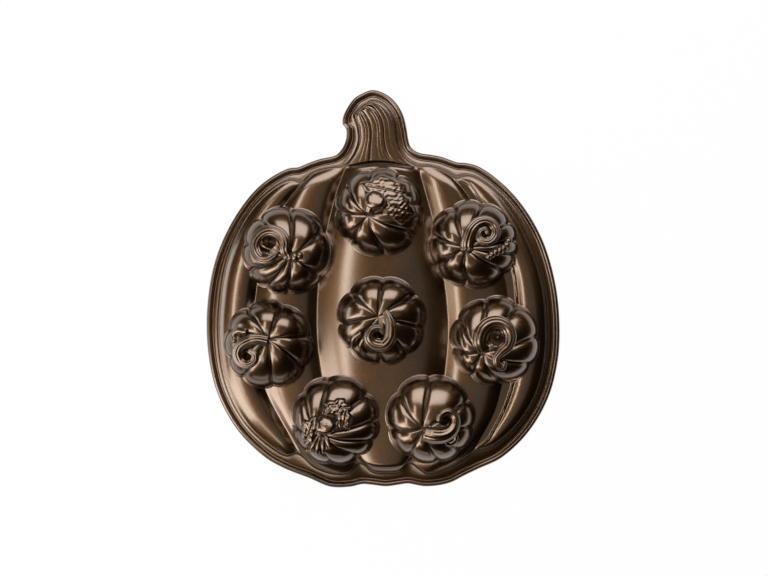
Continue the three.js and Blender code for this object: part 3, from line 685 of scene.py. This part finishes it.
def make_rim():
    edge_ring, step_ring = (np.vstack([line, line[:1]]) for line in (edge_line, step_line))
    lengths = distances(edge_ring)
    stations = int(lengths[-1] / RIM_SPACING)
    wanted = np.linspace(0, lengths[-1], stations, endpoint=False)
    edge = points_at(wanted, lengths, edge_ring)
    inward = points_at(wanted, lengths, step_ring) - edge
    width = np.linalg.norm(inward, axis=1)
    inward /= width[:, None]
    sections = np.array([rim_section(w) for w in width])
    corners = sections.shape[1]

    def place(u, v):
        station = np.rint(u * stations).astype(int) % stations
        corner = np.rint(v * corners).astype(int) % corners
        distance, height = sections[station, corner].T
        flat = edge[station] + inward[station] * distance[:, None]
        return np.column_stack([flat, height])

    bm = bmesh.new()
    lattice(bm, stations, corners, place)
    finished("rim_ring", bm, "rim")


# Panel


def softened(distance):
    """The distance from a groove, rounded off in the groove's bottom."""
    return np.sqrt(distance ** 2 + VALLEY_ROUND ** 2) - VALLEY_ROUND


def arch(share):
    """A lobe's height across it, from 0 at either groove to 1."""
    return 1 - np.abs(2 * share - 1) ** ARCH_POWER


def patch_points(left, right, bottom, top, u, v):
    """A sheet stretched between four edges, each a function from a share of its length to a point."""
    u1, v1 = u[:, None], v[:, None]
    flat = left(v) * (1 - u1) + right(v) * u1 + bottom(u) * (1 - v1) + top(u) * v1
    corner = [left(np.zeros(1)), right(np.zeros(1)), left(np.ones(1)), right(np.ones(1))]
    flat -= corner[0] * (1 - u1) * (1 - v1) + corner[1] * u1 * (1 - v1)
    flat -= corner[2] * (1 - u1) * v1 + corner[3] * u1 * v1
    return flat


groove_lines = {name: placed(spline(rows)) for name, rows in GROOVE_SHARES.items()}
channel_line = placed(spline(CHANNEL_SHARES))
handle_foot = placed(spline(HANDLE_FOOT_SHARES))


def lobe_edges(name):
    """The left, right, bottom and top edge of a lobe. The outermost ones end in a point above and below."""
    if name == "far_left":
        left, right = section("far_left_side"), groove_lines["far_left"]
    elif name == "far_right":
        left, right = groove_lines["far_right"], section("far_right_side")[::-1]
    else:
        left, right = (groove_lines[side] for side in LOBE_GROOVES[name])
    if name.startswith("far"):
        bottom, top = (np.vstack([left[end], right[end]]) for end in (0, -1))
    else:
        bottom = section(name + "_bottom")[::-1]
        top = handle_foot if name == "middle" else section(name + "_top")
    return along(left), along(right), along(bottom), along(top)


def lobe_surface(name):
    left, right, bottom, top = lobe_edges(name)
    rise = LOBE_RISE[name]

    def place(u, v):
        u = clustered(u, LOBE_PULL)
        flat = patch_points(left, right, bottom, top, u, v)
        width = np.linalg.norm(right(v) - left(v), axis=1)
        from_left, from_right = u * width, (1 - u) * width
        ridge = 0
        if name == "far_right":
            strip = np.linalg.norm(along(channel_line)(v) - left(v), axis=1)
            strip = np.minimum(strip, width * CHANNEL_MOST_SHARE)
            ridge = CHANNEL_RIDGE * np.exp(-((from_left - strip) / CHANNEL_RIDGE_WIDTH) ** 2)
            ridge = ridge * np.minimum(1, strip / CHANNEL_RIDGE_FADE)
            from_left = np.maximum(from_left - strip, 0)
            width = width - strip
        nearest = np.minimum(softened(from_left), softened(from_right))
        share = np.minimum(nearest / np.maximum(width, LOBE_LEAST_WIDTH), 0.5)
        narrow = np.minimum(1, width / NARROW_LOBE_WIDTH)
        to_end = np.minimum(*(np.linalg.norm(flat - edge(u), axis=1) for edge in (bottom, top)))
        reach = END_FALL
        if name == "middle":
            reach = np.where(v > 0.5, MIDDLE_TOP_FALL, MIDDLE_FOOT_FALL)
        fall = 1 - np.maximum(0, 1 - to_end / reach) ** END_POWER
        height = PANEL_LEVEL + rise * arch(share) * narrow * fall + ridge
        return np.column_stack([flat, height])

    return place


def radius_at_base(cup, direction):
    """How far the dome's foot lies from its middle."""
    swell = petal_swell(cup, direction, CROWN_SHARE_FOOT)
    return CUP_RADIUS - GROOVE_BASE_DEPTH * (1 - swell)


def inside_cup(flat, inset):
    """Whether each place lies within a cup's foot, less the inset."""
    inside = np.zeros(len(flat), bool)
    for cup in CUPS.values():
        arm = flat - placed(cup["place"])
        direction = np.arctan2(arm[:, 1], arm[:, 0])
        inside |= np.linalg.norm(arm, axis=1) < radius_at_base(cup, direction) - inset
    return inside


panel_trees = []


def make_lobe(name):
    bm = bmesh.new()
    lattice(bm, LOBE_COLUMNS, LOBE_ROWS, lobe_surface(name))
    panel_trees.append(BVHTree.FromBMesh(bm))
    centres = np.array([face.calc_center_median()[:2] for face in bm.faces]) / MM
    holes = [face for face, inside in zip(bm.faces, inside_cup(centres, HOLE_INSET)) if inside]
    bmesh.ops.delete(bm, geom=holes, context="FACES")
    bmesh.ops.remove_doubles(bm, verts=bm.verts, dist=MERGE_DISTANCE * MM)
    thickened(bm)
    finished("panel_" + name, bm, *LOBE_NODES[name])


def panel_height(flat):
    """Height of the panel's upper face at each place, looked for straight down."""
    heights = np.full(len(flat), PANEL_LEVEL)
    for k, (x, y) in enumerate(flat * MM):
        for tree in panel_trees:
            hit = tree.ray_cast(Vector((x, y, 1)), Vector((0, 0, -1)))[0]
            if hit:
                heights[k] = hit.z / MM
                break
    return heights


# Handle


def rib_relief(across):
    """How the ribs rise and fall over the handle's width: each a low crown between two grooves."""
    edges = np.array(HANDLE_GROOVES)
    rib = np.clip(np.searchsorted(edges, across, side="right") - 1, 0, len(edges) - 2)
    share = np.clip((across - edges[rib]) / (edges[rib + 1] - edges[rib]), 0, 1)
    return np.sqrt(4 * share * (1 - share) + HANDLE_RIB_ROUND) - math.sqrt(HANDLE_RIB_ROUND)


def notches(across, places, width):
    """1 in the middle of each notch, fading to 0 beside it."""
    return sum(np.exp(-((across - place) / width) ** 2) for place in places)


def make_handle():
    left = section("handle_left")
    right = section("handle_right")[::-1]
    top = section("handle_end")
    edges = along(left), along(right), along(handle_foot), along(top)

    def place(u, v):
        flat = patch_points(*edges, u, v)
        to_foot, to_top = (np.linalg.norm(flat - edge(u), axis=1) for edge in edges[2:])
        near_top = np.exp(-to_top / HANDLE_RIB_FADE)
        ribs = HANDLE_RIB_LOW + (HANDLE_RIB_HIGH - HANDLE_RIB_LOW) * near_top
        fine = HANDLE_CREASE_LOW + (HANDLE_CREASE_HIGH - HANDLE_CREASE_LOW) * near_top
        end = np.sqrt(1 - np.maximum(0, 1 - to_top / HANDLE_END_ROUND) ** 2)
        height = (HANDLE_CROWN * np.sin(math.pi * u) ** HANDLE_CROWN_POWER + ribs * rib_relief(u)) * end
        height -= HANDLE_GROOVE_DEPTH * notches(u, HANDLE_GROOVES[1:-1], HANDLE_GROOVE_WIDTH) * end
        height -= fine * notches(u, HANDLE_CREASES, HANDLE_CREASE_WIDTH) * end
        height -= HANDLE_FOOT_DROP * np.maximum(0, 1 - to_foot / HANDLE_FOOT_REACH) ** HANDLE_FOOT_POWER
        return np.column_stack([flat, PANEL_LEVEL + height])

    bm = bmesh.new()
    lattice(bm, HANDLE_COLUMNS, HANDLE_ROWS, place)
    thickened(bm)
    finished("ribbed_handle", bm, "handle")


# Cups


def petal_swell(cup, direction, crown_share):
    """0 in a crease, 1 on the middle of a petal: a rounded crown with a narrow crease on either side."""
    creases = np.radians(cup["creases"])
    edges = np.append(creases - creases[0], 2 * math.pi)
    turned = np.mod(direction - creases[0], 2 * math.pi)
    petal = np.clip(np.searchsorted(edges, turned, side="right") - 1, 0, len(creases) - 1)
    share = (turned - edges[petal]) / (edges[petal + 1] - edges[petal])
    across = 1 - np.abs(2 * share - 1)
    across = np.sqrt(across ** 2 + CREASE_ROUND ** 2) - CREASE_ROUND
    crown = 1 - (1 - across) ** CROWN_POWER
    crease = 1 - np.exp(-across / CREASE_WIDTH)
    return crown_share * crown + (1 - crown_share) * crease


def sagged(share):
    """Height of a petal's back, from 0 at its foot (share 1) over its crest to the sunk pole (share 0)."""
    arch = np.maximum(0, 1 - share ** DOME_ROUND_POWER) ** (1 / DOME_ROUND_POWER)
    return arch * (1 - SAG_SHARE * np.maximum(0, 1 - share / SAG_REACH_SHARE) ** 2)


CREST = sagged(np.linspace(0, 1, CREST_SAMPLES)).max()


def dome_ring(cup, angle, inset, foot):
    """Middle, radius and height of the ring of the dome at an angle above its foot."""
    lift = np.sin(angle) ** POLE_SHIFT_POWER
    share = np.maximum(0, np.cos(angle)) ** (2 / DOME_ROUND_POWER)
    centre = placed(cup["place"]) + np.array(cup["pole"]) * CUP_RADIUS * lift[:, None]
    height = foot + (DOME_TOP - inset - foot) * sagged(share) / CREST
    return centre, (CUP_RADIUS - inset) * share, height


def pit_dip(cup, flat):
    """How far the eye of a coil sinks the dome at each place."""
    dip = np.zeros(len(flat))
    for x, y, radius in cup.get("pits", []):
        arm = flat - placed(cup["place"]) - np.array([x, y]) * CUP_RADIUS
        share = np.linalg.norm(arm, axis=1) / (radius * CUP_RADIUS * PIT_SPREAD)
        dip += PIT_DEPTH * np.maximum(0, 1 - share ** 2)
    return dip


def dome_points(cup, direction, angle, inset, foot):
    """Points of a dome with its petals, each at a direction from the pole and an angle above the foot."""
    centre, radius, height = dome_ring(cup, angle, inset, foot)
    above_foot = np.sin(np.minimum(2 * angle, math.pi / 2))
    depth = GROOVE_BASE_DEPTH + (GROOVE_DEPTH - GROOVE_BASE_DEPTH) * above_foot
    crown_share = CROWN_SHARE_FOOT + (CROWN_SHARE_TOP - CROWN_SHARE_FOOT) * above_foot
    depth = depth * (INNER_GROOVE_SHARE if inset else 1) * (1 - petal_swell(cup, direction, crown_share))
    outward = rays(direction)
    sunk = pit_dip(cup, centre + radius[:, None] * outward) / PIT_DEPTH
    fade = np.minimum(1, radius / GROOVE_FADE_RADIUS) * np.maximum(0, 1 - PIT_CREASE_FADE * sunk)
    out = radius - depth * np.cos(angle) * fade
    flat = centre + out[:, None] * outward
    return np.column_stack([flat, height - depth * np.sin(angle) * fade - pit_dip(cup, flat)])


def dome_height(cup, flat):
    """Height of the smooth dome at each place, found by halving the range of its angle."""
    low, high = np.zeros(len(flat)), np.full(len(flat), math.pi / 2)
    for _ in range(SEARCH_STEPS):
        middle = (low + high) / 2
        centre, radius, _ = dome_ring(cup, middle, 0, cup["foot"])
        inside = np.linalg.norm(flat - centre, axis=1) < radius
        low, high = np.where(inside, middle, low), np.where(inside, high, middle)
    return dome_ring(cup, low, 0, cup["foot"])[2]


def cup_surface(cup):
    """Rings of a cup's corners, from the outer pole over lip and mouth to the inner pole."""
    # Corners crowd towards the creases
    creases = np.radians(cup["creases"])
    edges = np.append(creases, creases[0] + 2 * math.pi)
    steps = clustered(np.arange(PETAL_COLUMNS) / PETAL_COLUMNS, PETAL_PULL)
    turns = (edges[:-1, None] + np.diff(edges)[:, None] * steps).ravel()
    columns = len(turns)
    # The dome's foot follows the panel, a little evened out
    skirt = dome_points(cup, turns, np.zeros(columns), 0, 0)[:, :2]
    foot = panel_height(skirt) + FOOT_LIFT
    evened = sum(np.roll(foot, k) for k in range(-FOOT_REACH, FOOT_REACH + 1)) / (2 * FOOT_REACH + 1)
    foot = np.maximum(evened, foot - FOOT_MOST_SINK)
    cup["foot"] = float(foot.mean())
    rings = []
    for angle in np.linspace(math.pi / 2, 0, CUP_DOME_ROWS):
        rings.append(dome_points(cup, turns, np.full(columns, angle), 0, foot))
    for rows, wall in ((LIP_ROWS, 0), (MOUTH_ROWS, WALL)):
        for distance, lift in rows:
            flat = skirt + rays(turns) * distance
            rings.append(np.column_stack([flat, panel_height(flat) - wall + lift]))
    for angle in np.linspace(INNER_START_ANGLE, math.pi / 2, CUP_INNER_ROWS):
        rings.append(dome_points(cup, turns, np.full(columns, angle), WALL, foot))
    return np.array(rings)


def bar_points(cup, bar):
    """A tapering fluted bar that lies along its route on the dome, with rounded ends."""
    table = np.array(bar["rows"])
    route = placed(cup["place"]) + spline(table[:, :2] * CUP_RADIUS)
    half = spline(np.column_stack([np.arange(len(table)), table[:, 2] * CUP_RADIUS]))[:, 1]
    lengths = distances(route)
    ground = dome_height(cup, route)
    total = lengths[-1]
    start, end = half[0] * STALK_START, half[-1] * STALK_END

    def place(u, v):
        reach = -start + (total + start + end) * v
        at = np.clip(reach, 0, total)
        middle = points_at(at, lengths, route)
        z, wide = (np.interp(at, lengths, values) for values in (ground, half))
        before, after = (points_at(at + step, lengths, route) for step in (-STALK_AIM_STEP, STALK_AIM_STEP))
        ahead = after - before
        ahead /= np.maximum(np.linalg.norm(ahead, axis=1), NEARLY_ZERO)[:, None]
        side = np.column_stack([-ahead[:, 1], ahead[:, 0]])
        over = np.where(reach < 0, -reach / start, np.where(reach > total, (reach - total) / end, 0))
        shrink = np.sqrt(np.maximum(0, 1 - over ** 2))
        turn = 2 * math.pi * u
        cosine, sine = np.cos(turn), np.sin(turn)
        upper = sine > STALK_UPPER_LIMIT
        ridge = np.ones(len(turn))
        if "flutes" in bar:
            ridge -= FLUTE_DEPTH * (1 - np.abs(np.sin(turn * bar["flutes"])) ** FLUTE_POWER) * upper
        if "rings" in bar:
            ridge -= RING_DEPTH * (1 - np.abs(np.sin(math.pi * bar["rings"] * v)) ** FLUTE_POWER)
        power = STALK_SQUARE_POWER
        squareness = (np.abs(cosine) ** power + np.abs(sine) ** power) ** (-1 / power)
        across = wide * cosine * squareness * ridge * shrink
        up = np.where(upper, wide * STALK_RISE, STALK_ROOT) * sine * squareness * ridge * shrink
        flat = middle + side * across[:, None] + ahead * (reach - at)[:, None]
        return np.column_stack([flat, z + up])

    return place


def leaf_points(cup, leaf):
    """A lobed, crinkled leaf with a vein, whose upper side takes the first half of the rows."""
    x, y, half_length, half_width, turn, crinkle_depth = leaf
    centre = placed(cup["place"]) + np.array([x, y]) * CUP_RADIUS
    angle = math.radians(turn)

    def place(u, v):
        spin = 2 * math.pi * u
        share = np.minimum(2 * v, 2 - 2 * v)
        reach = share * wavy(spin, LEAF_WAVES)
        a = reach * np.cos(spin) * half_length * CUP_RADIUS
        b = reach * np.sin(spin) * half_width * CUP_RADIUS
        flat = centre + np.column_stack([a * math.cos(angle) - b * math.sin(angle),
                                         a * math.sin(angle) + b * math.cos(angle)])
        within = 1 - share ** LEAF_EDGE_POWER
        ring = LEAF_RING_RISE * np.exp(-((share - LEAF_RING_PLACE) / LEAF_RING_WIDTH) ** 2)
        body = LEAF_RISE * within + ring
        crinkle = crinkle_depth * sum(np.sin(a * p + b * q + r) for p, q, r in CRINKLES)
        vein = LEAF_VEIN_DEPTH * np.exp(-(b / LEAF_VEIN_WIDTH) ** 2)
        rise = np.where(v > 0.5, -STALK_ROOT, body + (crinkle - vein) * within)
        return np.column_stack([flat, dome_height(cup, flat) + rise])

    return place


def knob_points(cup, knob):
    """The rounded cut end of a stalk, which stands up from the dome with a shallow ring near its edge."""
    x, y, radius = knob
    centre = placed(cup["place"]) + np.array([x, y]) * CUP_RADIUS

    def place(u, v):
        spin = 2 * math.pi * u
        share = np.minimum(2 * v, 2 - 2 * v)
        flat = centre + (share * wavy(spin, KNOB_WAVES) * radius * CUP_RADIUS)[:, None] * rays(spin)
        rise = KNOB_RISE * np.sqrt(np.maximum(0, 1 - share ** KNOB_ROUND_POWER))
        rise -= KNOB_RING_DEPTH * np.exp(-((share - KNOB_RING_PLACE) / KNOB_RING_WIDTH) ** 2)
        rise -= KNOB_LEAN * share * radius * CUP_RADIUS * np.sin(spin)
        ground = dome_height(cup, flat)
        level = (ground + dome_height(cup, centre[None, :])[0]) / 2
        return np.column_stack([flat, np.where(v > 0.5, ground - STALK_ROOT, level + rise)])

    return place


def make_cup(name, cup):
    rings = cup_surface(cup)
    steps = len(rings) - 1
    columns = rings.shape[1]

    def place(turn, height):
        column = np.rint(turn / (2 * math.pi) * columns).astype(int) % columns
        return rings[np.rint(height * steps).astype(int), column]

    bm = bmesh.new()
    spun(bm, columns, steps, place)
    for bar in cup["bars"]:
        rows = STALK_END_ROWS + STALK_SPAN_ROWS * len(bar["rows"])
        lattice(bm, STALK_COLUMNS, rows, bar_points(cup, bar))
    for leaf in cup.get("leaves", []):
        lattice(bm, LEAF_COLUMNS, LEAF_ROWS, leaf_points(cup, leaf))
    for knob in cup.get("knobs", []):
        lattice(bm, KNOB_COLUMNS, KNOB_ROWS, knob_points(cup, knob))
    finished(name + "_shell", bm, name)


# Staging


def make_floor():
    """A pale floor that glows white where it is looked at, and keeps the pan's soft shadow."""
    tree = Tree("studio_floor")
    path = tree.node("ShaderNodeLightPath")
    seen = (path.out("Is Camera Ray") + path.out("Is Glossy Ray") + path.out("Is Transmission Ray")).clamp()
    diffuse = tree.node("ShaderNodeBsdfDiffuse", None, {"Color": FLOOR_COLOUR})
    glow = tree.node("ShaderNodeEmission", None, {"Color": (1, 1, 1, 1), "Strength": 1.0})
    mixed = tree.node("ShaderNodeMixShader", None, {
        0: seen * FLOOR_GLOW_SHARE, 1: diffuse.out(0), 2: glow.out(0)})
    material = tree.surface(mixed.out(0))
    bm = bmesh.new()
    bmesh.ops.create_grid(bm, x_segments=1, y_segments=1, size=FLOOR_REACH)
    mesh = bpy.data.meshes.new("floor")
    bm.to_mesh(mesh)
    bm.free()
    mesh.materials.append(material)
    floor = bpy.data.objects.new("floor", mesh)
    bpy.context.scene.collection.objects.link(floor)


def make_lamp(name, polar, azimuth, spread, radiance, colour):
    """A soft box that faces the pan. Its power follows from its size and from how bright it looks."""
    data = bpy.data.lights.new(name, "AREA")
    data.shape = "RECTANGLE"
    data.size, data.size_y = (2 * LAMP_REACH * math.tan(math.radians(angle / 2)) for angle in spread)
    data.energy = LAMP_POWER * radiance * data.size * data.size_y
    data.color = colour
    polar, azimuth = math.radians(polar), math.radians(azimuth)
    flat = math.sin(polar)
    place = Vector((flat * math.cos(azimuth), flat * math.sin(azimuth), math.cos(polar)))
    lamp = bpy.data.objects.new(name, data)
    lamp.location = place * LAMP_REACH
    lamp.rotation_euler = (-place).to_track_quat("-Z", "Y").to_euler()
    lamp.visible_camera = False
    bpy.context.scene.collection.objects.link(lamp)


def make_world():
    world = bpy.data.worlds.new("studio")
    bpy.context.scene.world = world
    world.use_nodes = True
    background = world.node_tree.nodes["Background"]
    background.inputs["Color"].default_value = (1, 1, 1, 1)
    background.inputs["Strength"].default_value = WORLD_LEVEL


def make_camera():
    data = bpy.data.cameras.new("camera")
    data.sensor_width = CAMERA_SENSOR
    data.lens = CAMERA_SENSOR * CAMERA_DISTANCE / VIEW_WIDTH
    data.clip_end = CAMERA_FAR
    camera = bpy.data.objects.new("camera", data)
    shift_x, shift_y, shift_z = CAMERA_SHIFT
    camera.location = (shift_x, shift_y, CAMERA_DISTANCE + shift_z)
    bpy.context.scene.collection.objects.link(camera)
    bpy.context.scene.camera = camera


make_rim()
for lobe in LOBE_RISE:
    make_lobe(lobe)
make_handle()
for cup_name, cup_form in CUPS.items():
    make_cup(cup_name, cup_form)

make_floor()
make_world()
make_camera()
for lamp_name, lamp_form in LAMPS.items():
    make_lamp(lamp_name, *lamp_form)

bpy.context.scene.view_settings.view_transform = "Standard"
